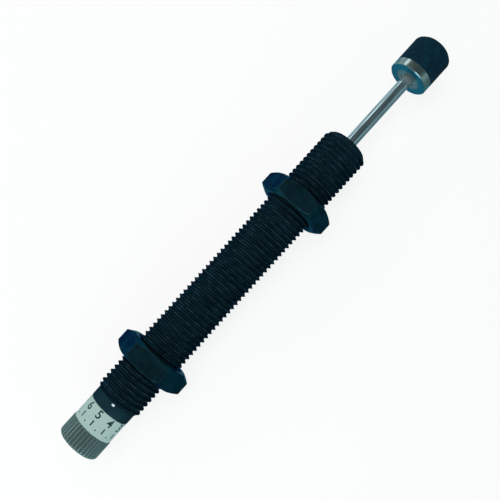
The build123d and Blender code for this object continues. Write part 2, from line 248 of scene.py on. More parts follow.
class Skin(Graph):
    """A material's nodes with its main shader."""

    def __init__(self, name: str) -> None:
        """Starts an empty material with its output and its main shader."""
        self.material = bpy.data.materials.new(name)
        super().__init__(self.material, "ShaderNodeOutputMaterial")
        self.shader = self.tree.nodes.new("ShaderNodeBsdfPrincipled")
        self.show(Value(self, self.shader.outputs[0]))

    def surface(self, **fills: Fill) -> None:
        """Fills the main shader's sockets, named with _ for a space."""
        for key, fill in fills.items():
            self.feed(self.shader.inputs[key.replace("_", " ")], fill)

    def bump(self, height: Value, depth_mm: float, strength: float = 1.0) -> None:
        """Gives the surface a relief of that depth."""
        fills = {"Height": height, "Distance": depth_mm * MM, "Strength": strength}
        self.surface(Normal=self.node("ShaderNodeBump", {}, fills))


def set_stops(ramp: bpy.types.ColorRamp, stops: Stops) -> None:
    """Replaces a ramp's stops by these places and colours."""
    while len(ramp.elements) < len(stops):
        ramp.elements.new(1.0)
    for element, (spot, colour) in zip(ramp.elements, stops):
        element.position = spot
        element.color = (*colour, 1.0)


def scaled(colour: Colour, factor: float) -> Colour:
    """A colour times a factor."""
    return tuple(part * factor for part in colour)


@dataclass(frozen=True)
class Finish:
    """A finish: its name, the slot that it belongs to and its plain values.

    The rim colour is what a metal reflects at a glancing angle, as a share of the light.
    """

    name: str
    slot: str
    colour: Colour
    metallic: float
    roughness: float
    rim: Colour = WHITE
    specular: float = 0.5

    def material(self) -> bpy.types.Material:
        """The finish's material, made on its first use."""
        known = bpy.data.materials.get(self.name)
        if known:
            return known
        skin = Skin(self.name)
        skin.surface(Metallic=self.metallic, Specular_IOR_Level=self.specular, Specular_Tint=self.rim)
        self.paint(skin)
        return skin.material

    def paint(self, skin: Skin) -> None:
        """Draws the finish."""
        raise NotImplementedError

    def rough(self, share: Value, spread: float) -> Value:
        """The roughness, spread about its middle as the share goes from 0 to 1."""
        return share * (2 * spread) + (self.roughness - spread)


@dataclass(frozen=True)
class BlackSteel(Finish):
    """Oiled black oxide with a paler, smoother wear on its edges."""

    # The paler colour of rubbed edges; on the thread's crest it is also a painted glint.
    worn_and_glint_colour: Colour = (0.055, 0.1, 0.115)
    worn_smoother: float = -0.08

    def paint(self, skin: Skin) -> None:
        """Cloudy blue-black with fine grain and worn edges."""
        spot = skin.place()
        clouds = skin.noise(spot, scale=0.35)
        grain = skin.noise(spot, scale=9.0)
        dark, pale = scaled(self.colour, 0.75), scaled(self.colour, 1.2)
        tone = skin.mix(clouds.ramp(0.3, 0.7), dark, pale)
        mask = self.wear_and_glint(skin, spot)
        skin.surface(
            # Rubbed edges are mixed in; on the thread's crest this is partly a painted glint.
            Base_Color=skin.mix(mask, self.shaded(skin, tone), self.worn_and_glint_colour),
            Roughness=mask * self.worn_smoother + self.rough(clouds * 0.5 + grain * 0.5, spread=0.09),
        )
        skin.bump(grain, depth_mm=0.004, strength=0.5)

    def wear_and_glint(self, skin: Skin, spot: Value) -> Value:
        """Where the black is rubbed thin."""
        edge = skin.node("ShaderNodeAttribute", {"attribute_name": EDGE}, {}, "Fac")
        patches = skin.noise(spot, scale=1.6, detail=2.0).ramp(0.35, 0.65)
        return edge * (patches * 0.45 + 0.1)

    def shaded(self, skin: Skin, tone: Value) -> Value:
        """The tone, changed where a part of the piece differs."""
        return tone


@dataclass(frozen=True)
class ThreadSteel(BlackSteel):
    """Black oxide on a thread: thin paler lines on its crest, partly rubbed wear and partly a painted
    glint, a painted highlight line in its root, and a paler neck.
    """

    line_mm: float = 0.07
    crest_flat_mm: float = 0.005
    root_flat_mm: float = 0.01
    neck_x: Point = (THREAD_END + 0.15, THREAD_END - 0.05)
    neck_colour: Colour = (0.01, 0.031, 0.042)
    # Colour of the painted highlight line in the thread's root.
    root_highlight_colour: Colour = (0.015, 0.038, 0.047)

    def wear_and_glint(self, skin: Skin, spot: Value) -> Value:
        """The crest's line, partly rubbed wear and partly a painted glint, uneven along the thread."""
        x, radius, turn = skin.round_place()
        # Patches along the thread that break up the crest's rubbed wear and painted glint.
        rub_and_glint_patches = skin.flat_noise(x * 1.3, turn * 3.5, scale=0.9).ramp(0.42, 0.66)
        crest = radius.ramp(CREST_R - self.line_mm, CREST_R - self.crest_flat_mm)
        return crest * (rub_and_glint_patches * 0.75 + 0.15)

    def shaded(self, skin: Skin, tone: Value) -> Value:
        """Adds the root's painted highlight line and the neck's tone."""
        x, radius, turn = skin.round_place()
        # Patches of painted highlight along the thread's root.
        root_glint_patches = skin.flat_noise(x * 1.1 + 7.0, turn * 2.5, scale=0.9).ramp(0.4, 0.66)
        root = radius.ramp(ROOT_R + self.line_mm, ROOT_R + self.root_flat_mm)
        tone = skin.mix(root * (root_glint_patches * 0.7 + 0.1), tone, self.root_highlight_colour)
        return skin.mix(x.ramp(*self.neck_x), tone, self.neck_colour)


@dataclass(frozen=True)
class TurnedMetal(Finish):
    """Metal with the fine rings that a lathe tool leaves; one end face can have a painted teal reflection,
    paler near its middle as a painted highlight.
    """

    ring_scale: float = 9.0
    ring_depth_mm: float = 0.0015
    painted_reflection_colour: Colour = (0.0, 0.0, 0.0)
    face_x: Point = (0.0, 0.0)
    painted_highlight_mm: Point = (4.2, 3.0)

    def paint(self, skin: Skin) -> None:
        """Rings across the axis, light stains, and the painted reflection and highlight on the end face."""
        x, radius, _ = skin.round_place()
        rings = skin.flat_noise(x, radius, self.ring_scale, detail=2.0)
        stains = skin.noise(skin.place(), scale=0.6)
        tone = skin.mix(stains.ramp(0.35, 0.75), self.colour, scaled(self.colour, 0.72))
        # The end face's colour is a painted reflection of teal surroundings, with a painted highlight round
        # the middle; the face is also made less metallic.
        if self.face_x[0] != self.face_x[1]:
            painted_highlight_mask = radius.ramp(*self.painted_highlight_mm) * 0.6
            face = skin.mix(painted_highlight_mask, self.painted_reflection_colour, scaled(self.colour, 0.7))
            mask = x.ramp(*self.face_x)
            tone = skin.mix(mask, tone, face)
            skin.surface(Metallic=mask.between(self.metallic, self.metallic / 2))
        skin.surface(Base_Color=tone, Roughness=self.rough(rings * 0.6 + stains * 0.4, spread=0.09))
        skin.bump(rings, self.ring_depth_mm)


@dataclass(frozen=True)
class GroundSteel(Finish):
    """A hard, polished surface, ground along the rod, with a painted grey reflection on its last stretch
    before the cap, where it is also rougher and less metallic.
    """

    end_x: Point = (23.4, 25.6)
    painted_end_reflection: Colour = (0.2, 0.25, 0.25)
    end_metallic: float = 0.25
    end_rougher: float = 0.3

    def paint(self, skin: Skin) -> None:
        """A cool mirror with hair lines along the rod, whose darker and lighter streaks in the base colour
        are also painted reflection streaks.
        """
        x, _, turn = skin.round_place()
        grind_lines_and_painted_streaks = skin.flat_noise(x * 0.025, turn * 1.3, scale=5.0, detail=4.0)
        haze = skin.flat_noise(x, turn * 2.0, scale=0.5, detail=2.0)
        # The rod's last stretch before the cap gets a painted grey reflection.
        end = x.ramp(*self.end_x)
        # Streaks of half and full colour round the rod: ground lines, and painted reflection streaks.
        hard = skin.mix(grind_lines_and_painted_streaks.ramp(0.4, 0.6), scaled(self.colour, 0.5), self.colour)
        skin.surface(
            Base_Color=skin.mix(end, hard, self.painted_end_reflection),
            Roughness=self.rough(haze, spread=0.03) + end * self.end_rougher,
            Metallic=end.between(self.metallic, self.end_metallic),
        )
        skin.bump(grind_lines_and_painted_streaks, depth_mm=0.004, strength=0.35)


@dataclass(frozen=True)
class Rubber(Finish):
    """Matte rubber with a fine grain and a little bloom."""

    grain_scale: float = 6.0

    def paint(self, skin: Skin) -> None:
        """Mottled dark rubber."""
        spot = skin.place()
        grain = skin.noise(spot, self.grain_scale)
        bloom = skin.noise(spot, scale=0.45).ramp(0.35, 0.8)
        skin.surface(
            Base_Color=skin.mix(bloom, self.colour, scaled(self.colour, 1.6)),
            Roughness=self.rough(grain, spread=0.08),
        )
        skin.bump(grain, depth_mm=0.02, strength=0.5)


@dataclass(frozen=True)
class FlutedMetal(Finish):
    """Anodised aluminium, with painted shade at the bottom of its flutes."""

    outer_mm: float = 6.125
    flute_mm: float = 0.3

    def paint(self, skin: Skin) -> None:
        """Grey metal with dark stains, and with painted shade that deepens below the outer radius."""
        x, radius, _ = skin.round_place()
        # How far below the outer radius a point lies, for the painted shade in the flutes.
        depth = radius.ramp(self.outer_mm, self.outer_mm - self.flute_mm)
        rings = skin.flat_noise(x, radius, scale=10.0, detail=2.0)
        stains = skin.noise(skin.place(), scale=0.7)
        stain_and_flute_shade = scaled(self.colour, 0.5)
        tone = skin.mix(depth * 0.75, self.colour, stain_and_flute_shade)
        skin.surface(
            Base_Color=skin.mix(stains.ramp(0.5, 0.9) * 0.35, tone, stain_and_flute_shade),
            Roughness=self.rough(stains * 0.5 + rings * 0.5, spread=0.09),
        )
        skin.bump(rings, depth_mm=0.003, strength=0.6)


@dataclass(frozen=True)
class SatinBand(Finish):
    """Satin metal that carries the printed scale."""

    def paint(self, skin: Skin) -> None:
        """Pale metal with a fine speckle and thumb marks."""
        spot = skin.place()
        speckle = skin.noise(spot, scale=7.0, detail=4.0)
        marks = skin.noise(spot, scale=0.5)
        tone = skin.mix(speckle.ramp(0.35, 0.65), scaled(self.colour, 0.85), self.colour)
        skin.surface(
            Base_Color=skin.mix(marks.ramp(0.55, 0.9) * 0.3, tone, scaled(self.colour, 0.75)),
            Roughness=self.rough(speckle, spread=0.06),
        )
        skin.bump(speckle, depth_mm=0.003, strength=0.5)


@dataclass(frozen=True)
class Paint(Finish):
    """Paint or ink, slightly uneven."""

    def paint(self, skin: Skin) -> None:
        """One colour with thin places."""
        patches = skin.noise(skin.place(), scale=4.0)
        thin = tuple(0.7 * part + 0.02 for part in self.colour)
        skin.surface(
            Base_Color=skin.mix(patches.ramp(0.6, 0.9) * 0.6, self.colour, thin),
            Roughness=self.rough(patches, spread=0.05),
        )
        skin.bump(patches, depth_mm=0.002, strength=0.4)


DARK_RIM = (0.1, 0.35, 0.45)
TEAL_RIM = (0.3, 0.62, 0.7)
BLUED_THREAD = ThreadSteel(
    "blued_thread", "black_oxide_steel", (0.0036, 0.0145, 0.0225), 0.4, 0.42, DARK_RIM, 0.0
)
BLUED_NUT = BlackSteel("blued_nut", "black_oxide_steel", (0.0105, 0.042, 0.058), 0.9, 0.34, DARK_RIM, 0.0)
RING_WIRE = TurnedMetal("ring_wire", "spring_steel", (0.2, 0.21, 0.22), 1.0, 0.35)
COIL_WIRE = TurnedMetal("coil_wire", "spring_steel", (0.3, 0.3, 0.31), 1.0, 0.3)
TURNED_STEEL = TurnedMetal("turned_steel", "plain_steel", (0.5, 0.5, 0.5), 1.0, 0.35)
TURNED_CAP = TurnedMetal(
    "turned_cap", "cap_steel", (0.24, 0.31, 0.3), 1.0, 0.17, (0.15, 0.42, 0.52), 0.0,
    # The back face's teal is a painted reflection, paler near the rod as a painted highlight.
    painted_reflection_colour=(0.02, 0.115, 0.17), face_x=(26.55, 26.4),
)
BEARING_BRONZE = TurnedMetal("bearing_bronze", "bronze", (0.55, 0.36, 0.18), 1.0, 0.35)
GROUND_ROD = GroundSteel("ground_rod", "polished_rod", (0.36, 0.48, 0.52), 0.98, 0.04, (0.45, 0.7, 0.75))
SOFT_SEAL = Rubber("soft_seal", "seal_rubber", (0.012, 0.014, 0.016), 0.0, 0.6, specular=0.3)
FOAM_SLEEVE = Rubber(
    "foam_sleeve", "foam_rubber", (0.05, 0.05, 0.05), 0.0, 0.9, specular=0.2, grain_scale=2.5
)
MOULDED_PAD = Rubber("moulded_pad", "bumper_rubber", (0.0035, 0.0185, 0.031), 0.0, 0.85, specular=0.02)
KNOB_METAL = FlutedMetal("knob_metal", "dark_aluminium", (0.14, 0.215, 0.21), 0.6, 0.42, TEAL_RIM, 0.05)
BAND_METAL = SatinBand("band_metal", "pale_aluminium", (0.41, 0.545, 0.51), 0.12, 0.5, TEAL_RIM, 0.0)
SCALE_INK = Paint("scale_ink", "pale_aluminium", (0.02, 0.05, 0.06), 0.0, 0.5, specular=0.05)
INDEX_PAINT = Paint("index_paint", "black_oxide_steel", (0.62, 0.68, 0.72), 0.0, 0.45, specular=0.2)


def everything(mesh: Mesh) -> list:
    """All the vertices, edges and faces of a mesh."""
    return mesh.verts[:] + mesh.edges[:] + mesh.faces[:]


def face_outwards(mesh: Mesh) -> None:
    """Turns the faces of a closed mesh outwards."""
    bmesh.ops.recalc_face_normals(mesh, faces=mesh.faces)


def spin(
    mesh: Mesh, geom: list, steps: int, angle: float = TURN, advance: float = 0.0, closed: bool = False
) -> None:
    """Sweeps parts of a mesh round the X axis.

    Args:
        mesh: The mesh.
        geom: The parts that are swept.
        steps: How many facets the sweep gets.
        angle: How far round it goes, in radians.
        advance: How far each step moves along the axis.
        closed: Whether its end is joined to its start.
    """
    bmesh.ops.spin(
        mesh, geom=geom, cent=ORIGIN, axis=AXIS, dvec=(advance, 0, 0), angle=angle,
        steps=steps, use_merge=closed, use_duplicate=False,
    )


def cut_plane(mesh: Mesh, place: float, outwards: int = 1, clear: bool = False) -> None:
    """Cuts the faces at a place along the axis, and can clear what lies outwards of it."""
    bmesh.ops.bisect_plane(
        mesh, geom=everything(mesh), dist=SNAP,
        plane_co=(place, 0, 0), plane_no=(outwards, 0, 0), clear_outer=clear,
    )


def slice_across(mesh: Mesh, places: Iterable[float]) -> None:
    """Adds a line of vertices across the X axis at each place."""
    for place in places:
        cut_plane(mesh, place)


def turned(profile: Profile, steps: int = ROUND_STEPS) -> Mesh:
    """Spins an open or closed outline about the X axis.

    Args:
        profile: Points of (x, radius) in millimetres; the last is joined to the first
            unless both lie on the axis.
        steps: How many facets the turn gets.

    Returns:
        The new mesh, in millimetres.
    """
    mesh = bmesh.new()
    verts = [mesh.verts.new((x, 0.0, radius)) for x, radius in profile]
    pairs = list(zip(verts, verts[1:]))
    if profile[0][1] > 0 or profile[-1][1] > 0:
        pairs.append((verts[-1], verts[0]))
    edges = [mesh.edges.new(pair) for pair in pairs]
    spin(mesh, verts + edges, steps, closed=True)
    bmesh.ops.remove_doubles(mesh, verts=mesh.verts, dist=WELD)
    face_outwards(mesh)
    return mesh


def radius_of(vert: Vert) -> float:
    """A vertex's distance from the X axis."""
    return math.hypot(vert.co.y, vert.co.z)


def set_radius(vert: Vert, radius: float) -> None:
    """Moves a vertex straight in or out to that radius."""
    factor = radius / radius_of(vert)
    vert.co.y *= factor
    vert.co.z *= factor


def middle(edge: Edge) -> Point:
    """The place along the axis and the radius of an edge's middle."""
    spot = (edge.verts[0].co + edge.verts[1].co) / 2
    return spot.x, math.hypot(spot.y, spot.z)


def is_ring(edge: Edge) -> bool:
    """Whether an edge runs round the axis."""
    first, second = edge.verts
    return abs(first.co.x - second.co.x) < SAME and abs(radius_of(first) - radius_of(second)) < 10 * SAME


def bevel_edges(
    mesh: Mesh, width: float, wanted: Callable[[float, float], bool], segments: int = 2, rings: bool = True
) -> None:
    """Rounds the sharp edges that the test picks, and marks the new faces as edge.

    Args:
        mesh: The mesh to change.
        width: How far the rounding reaches from the edge, in millimetres.
        wanted: Says whether an edge is rounded, from the place of its middle along the
            axis and its radius there.
        segments: How many faces the rounding gets.
        rings: Whether only edges that run round the axis are rounded.
    """
    layers = mesh.loops.layers.float
    wear_and_glint = layers.get(EDGE) or layers.new(EDGE)
    sharp = [e for e in mesh.edges if e.is_manifold and e.calc_face_angle(0.0) > SHARP]
    picked = [e for e in sharp if wanted(*middle(e)) and (is_ring(e) or not rings)]
    made = bmesh.ops.bevel(
        mesh, geom=picked, offset=width, offset_type="OFFSET", segments=segments,
        profile=0.5, affect="EDGES", material=-1, clamp_overlap=True,
    )
    for face in made["faces"]:
        for loop in face.loops:
            loop[wear_and_glint] = 1.0


def placed(name: str, data: bpy.types.ID) -> bpy.types.Object:
    """Puts an object with that data into the scene."""
    thing = bpy.data.objects.new(name, data)
    bpy.context.scene.collection.objects.link(thing)
    return thing


def kept(name: str, mesh: Mesh) -> bpy.types.Mesh:
    """Keeps an edited mesh, which is used up, as data for an object."""
    data = bpy.data.meshes.new(name)
    mesh.to_mesh(data)
    mesh.free()
    return data


def shape_of(thing: bpy.types.Object) -> Mesh:
    """The mesh that an object shows, with its modifiers applied."""
    bpy.context.view_layer.update()
    data = bpy.data.meshes.new_from_object(thing.evaluated_get(bpy.context.evaluated_depsgraph_get()))
    mesh = bmesh.new()
    mesh.from_mesh(data)
    bpy.data.meshes.remove(data)
    return mesh


def finished(
    name: str,
    mesh: Mesh,
    body: Body,
    finish: Finish,
    replaces: Sequence[str] = (),
    sharp_angle: float = 35.0,
    weighted: bool = False,
) -> bpy.types.Object:
    """Makes a piece of the object from a mesh in millimetres.

    Args:
        name: The piece's name.
        mesh: Its shape, which is used up.
        body: The body that it rides on.
        finish: Its finish.
        replaces: The nodes that it stands for.
        sharp_angle: Edges sharper than this stay crisp, in degrees.
        weighted: Whether large faces keep their flat look beside rounded edges.

    Returns:
        The new object.
    """
    bmesh.ops.scale(mesh, vec=(MM, MM, MM), verts=mesh.verts)
    for face in mesh.faces:
        face.smooth = True
    for edge in mesh.edges:
        edge.smooth = edge.calc_face_angle(math.pi) < math.radians(sharp_angle)
    data = kept(name, mesh)
    data.materials.append(finish.material())
    piece = placed(name, data)
    if weighted:
        modifier = piece.modifiers.new("flats", "WEIGHTED_NORMAL")
        modifier.keep_sharp = True
    if replaces:
        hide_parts(*replaces)
    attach(piece, body.value)
    log.info("%s: %d faces on %s", name, len(data.polygons), body.value)
    return piece


def cut_away(mesh: Mesh, tool: Mesh) -> Mesh:
    """Cuts one closed mesh out of another; both are used up.

    Args:
        mesh: The mesh that is cut.
        tool: What is cut out of it.

    Returns:
        The cut mesh.
    """
    holders = [placed("cut", kept("cut", part)) for part in (mesh, tool)]
    modifier = holders[0].modifiers.new("cut", "BOOLEAN")
    modifier.operation = "DIFFERENCE"
    modifier.solver = "EXACT"
    modifier.object = holders[1]
    result = shape_of(holders[0])
    for holder in holders:
        used = holder.data
        bpy.data.objects.remove(holder)
        bpy.data.meshes.remove(used)
    return result


def printed(mesh: Mesh, spot: Point, radius: float, proud: float) -> None:
    """Turns flat faces into a thin skin on a cylinder about the X axis.

    Args:
        mesh: Flat faces in the XY plane, in millimetres, with their middle at the origin;
            X runs round the cylinder and Y along it.
        spot: Where the middle goes: its place along the axis, and its angle from the top
            in degrees, towards -Y.
        radius: The cylinder's radius.
        proud: How far the skin stands out.
    """
    low = min(v.co.x for v in mesh.verts)
    high = max(v.co.x for v in mesh.verts)
    count = max(2, math.ceil((high - low) / STRIP))
    slice_across(mesh, [low + (high - low) * (k + STRIP_SHIFT) / count for k in range(count)])
    grown = bmesh.ops.extrude_face_region(mesh, geom=mesh.faces[:])["geom"]
    bmesh.ops.translate(mesh, vec=(0, 0, 2 * proud), verts=[v for v in grown if isinstance(v, Vert)])
    place, angle = spot
    for vert in mesh.verts:
        around, along, height = vert.co
        turn = math.radians(angle) + around / radius
        reach = radius - proud + height
        vert.co = (place + along, -reach * math.sin(turn), reach * math.cos(turn))
    face_outwards(mesh)
    if mesh.calc_volume(signed=True) < 0:
        bmesh.ops.reverse_faces(mesh, faces=mesh.faces)


@dataclass
class Thread:
    """An outside thread's form, in millimetres."""

    major_r: float = CREST_R
    root_r: float = ROOT_R
    pitch: float = 1.5
    crest: float = 0.1
    root: float = 0.355
    root_rise: float = 0.012
    nip: float = 0.045
    steps: int = 84

    def tooth(self) -> list[Point]:
        """One pitch of the outline, from root to root, with rounded corners."""
        crest, root, nip = self.crest / 2, self.root / 2, self.nip
        half = self.pitch / 2
        rise = [
            (0.0, self.root_r),
            (root * 0.6, self.root_r + self.root_rise),
            (root + nip / 2, self.root_r + nip),
            (half - crest - nip / 3, self.major_r - nip * 0.9),
            (half - crest + nip / 2, self.major_r),
        ]
        return rise + [(self.pitch - x, radius) for x, radius in reversed(rise)]

    def helix(self, start: float, end: float) -> Mesh:
        """A right-hand thread surface that covers a stretch of the axis.

        Args:
            start: Where the stretch begins along X.
            end: Where it ends.

        Returns:
            The open surface, cut square at both places.
        """
        mesh = bmesh.new()
        first = start - 2 * self.pitch
        verts = [mesh.verts.new((first + x, 0.0, radius)) for x, radius in self.tooth()]
        edges = [mesh.edges.new(pair) for pair in zip(verts, verts[1:])]
        spin(mesh, verts + edges, self.steps, advance=self.pitch / self.steps)
        turns = 1
        while turns * self.pitch < end - first:
            copied = bmesh.ops.duplicate(mesh, geom=everything(mesh))["geom"]
            moved = [v for v in copied if isinstance(v, Vert)]
            bmesh.ops.translate(mesh, vec=(turns * self.pitch, 0, 0), verts=moved)
            turns *= 2
        bmesh.ops.remove_doubles(mesh, verts=mesh.verts, dist=SAME)
        cut_plane(mesh, start, outwards=-1, clear=True)
        cut_plane(mesh, end, clear=True)
        return mesh


def open_loop(mesh: Mesh, place: float) -> list[Edge]:
    """The open edges that lie at a place along the axis."""
    return [e for e in mesh.edges if e.is_boundary and all(abs(v.co.x - place) < SAME for v in e.verts)]


def lead_on(mesh: Mesh, loop: list[Edge], course: Iterable[Point]) -> list[Edge]:
    """Draws an open loop on through further places and radii.

    Args:
        mesh: The mesh to grow.
        loop: The open edges to start from.
        course: The (x, radius) of each further ring.

    Returns:
        The last ring's edges.
    """
    for x, radius in course:
        made = bmesh.ops.extrude_edge_only(mesh, edges=loop)["geom"]
        loop = [e for e in made if isinstance(e, Edge) and e.is_boundary]
        for vert in {v for e in loop for v in e.verts}:
            set_radius(vert, radius)
            vert.co.x = x
    return loop


@dataclass
class Barrel:
    """The threaded body with its neck and bore."""

    span: Extent
    thread: Thread = field(default_factory=Thread)
    neck_r: float = 6.05
    neck_edge: float = 0.25
    front_r: float = 5.68
    front_slice: float = 0.22
    rear_slice: float = 0.2
    bore_r: float = 5.3
    rear_wall: float = 7.75
    stem_hole_r: float = 2.52
    groove_r: float = 5.7
    groove: Point = (-1.72, -0.88)
    mouth_edge: float = 0.15
    dot_spot: Point = (-94.15, 5.0)
    dot_size: Point = (0.95, 0.62)
    dot_proud: float = 0.05

    def chamfer(self, vert: Vert) -> None:
        """Keeps a vertex inside the chamfer at either end of the thread."""
        limit = min(self.front_r - vert.co.x, self.neck_r + vert.co.x - THREAD_END)
        if radius_of(vert) > limit:
            set_radius(vert, limit)

    def build(self) -> None:
        """Makes the body in one closed piece."""
        mesh = self.thread.helix(THREAD_END, 0.0)
        slice_across(mesh, [-self.front_slice * k for k in range(1, 7)])
        slice_across(mesh, [THREAD_END + self.rear_slice * k for k in range(1, 6)])
        for vert in mesh.verts:
            self.chamfer(vert)
        edge, end = self.neck_edge, self.span.back
        bore_floor = end + self.rear_wall
        course = [
            (end + edge, self.neck_r),
            (end + edge * 0.3, self.neck_r - edge * 0.3),
            (end, self.neck_r - edge),
            (end, self.stem_hole_r),
            (bore_floor, self.stem_hole_r),
            (bore_floor, self.bore_r),
            (self.groove[0], self.bore_r),
            (self.groove[0], self.groove_r),
            (self.groove[1], self.groove_r),
            (self.groove[1], self.bore_r),
            (-self.mouth_edge, self.bore_r),
            (0.0, self.bore_r + self.mouth_edge),
        ]
        front = open_loop(mesh, 0.0)
        last = lead_on(mesh, open_loop(mesh, THREAD_END), course)
        bmesh.ops.bridge_loops(mesh, edges=front + last)
        face_outwards(mesh)
        finished("threaded_body", mesh, Body.HOUSING, BLUED_THREAD, ["body_tube"], sharp_angle=38.0)

    def index_dot(self) -> None:
        """Makes the painted dot on the neck that the scale is read against."""
        mesh = bmesh.new()
        bmesh.ops.create_circle(mesh, cap_ends=True, segments=24, radius=0.5)
        bmesh.ops.scale(mesh, vec=(*self.dot_size, 1.0), verts=mesh.verts)
        printed(mesh, self.dot_spot, self.neck_r, self.dot_proud)
        finished("index_dot", mesh, Body.HOUSING, INDEX_PAINT)


@dataclass
class LockNut:
    """A chamfered hexagon nut."""

    name: str
    node: str
    body: Body
    face_inset: float = 0.6
    side_step: float = 1.0
    chamfer_angle: float = 30.0
    bore_r: float = 7.03
    bore_chamfer: float = 0.7
    edge: float = 0.07

    def hexagon(self, vert: Vert, to_flat: float) -> float:
        """The hexagon's radius in a vertex's direction, with flats above and below."""
        turn = math.atan2(vert.co.y, vert.co.z)
        from_flat = (turn + math.pi / 6) % (math.pi / 3) - math.pi / 6
        return to_flat / math.cos(from_flat)

    def build(self) -> None:
        """Makes the nut."""
        span, step = extent(self.node), self.side_step
        half = span.front - span.middle
        face_r = span.radius - self.face_inset
        mouth = self.bore_r + self.bore_chamfer
        mesh = turned([
            (-half, mouth), (-half, face_r), (-half + step / 2, face_r + step),
            (half - step / 2, face_r + step), (half, face_r), (half, mouth),
            (half - self.bore_chamfer, self.bore_r), (self.bore_chamfer - half, self.bore_r),
        ])
        slope = math.tan(math.radians(self.chamfer_angle))
        for vert in mesh.verts:
            if radius_of(vert) > face_r + step / 2:
                radius = self.hexagon(vert, span.radius)
                depth = (radius - face_r) * slope
                side = 1 if vert.co.x > 0 else -1
                set_radius(vert, radius)
                vert.co.x = side * (half - depth)
        face_outwards(mesh)
        bevel_edges(mesh, self.edge, lambda x, radius: radius > self.bore_r + 0.2, rings=False)
        bmesh.ops.translate(mesh, vec=(span.middle, 0, 0), verts=mesh.verts)
        finished(self.name, mesh, self.body, BLUED_NUT, [self.node], weighted=True)


def flat_bar(width: float, length: float) -> Mesh:
    """A flat bar, wide along X and long along Y."""
    mesh = bmesh.new()
    bmesh.ops.create_grid(mesh, x_segments=1, y_segments=1, size=0.5)
    bmesh.ops.scale(mesh, vec=(width, length, 1.0), verts=mesh.verts)
    return mesh


def flat_digit(number: int, size: float, bolder: float) -> Mesh:
    """A flat digit with its middle at the origin.

    Args:
        number: The digit.
        size: The type's size.
        bolder: How far its outline is moved outwards.

    Returns:
        Its faces, with its top towards +Y.
    """
    curve = bpy.data.curves.new(f"digit_{number}", "FONT")
    curve.body = str(number)
    curve.size = size
    curve.align_x = "CENTER"
    curve.align_y = "CENTER"
    curve.offset = bolder
    curve.resolution_u = 4
    holder = placed(curve.name, curve)
    mesh = shape_of(holder)
    bpy.data.objects.remove(holder)
    bpy.data.curves.remove(curve)
    bmesh.ops.remove_doubles(mesh, verts=mesh.verts, dist=WELD)
    inner = [edge for edge in mesh.edges if not edge.is_boundary]
    bmesh.ops.delete(mesh, geom=mesh.faces[:], context="FACES_ONLY")
    bmesh.ops.delete(mesh, geom=inner, context="EDGES")
    bmesh.ops.triangle_fill(mesh, use_beauty=True, use_dissolve=False, edges=mesh.edges, normal=(0, 0, 1))
    low = Vector([min(v.co[k] for v in mesh.verts) for k in range(3)])
    high = Vector([max(v.co[k] for v in mesh.verts) for k in range(3)])
    bmesh.ops.translate(mesh, vec=-(low + high) / 2, verts=mesh.verts)
    return mesh


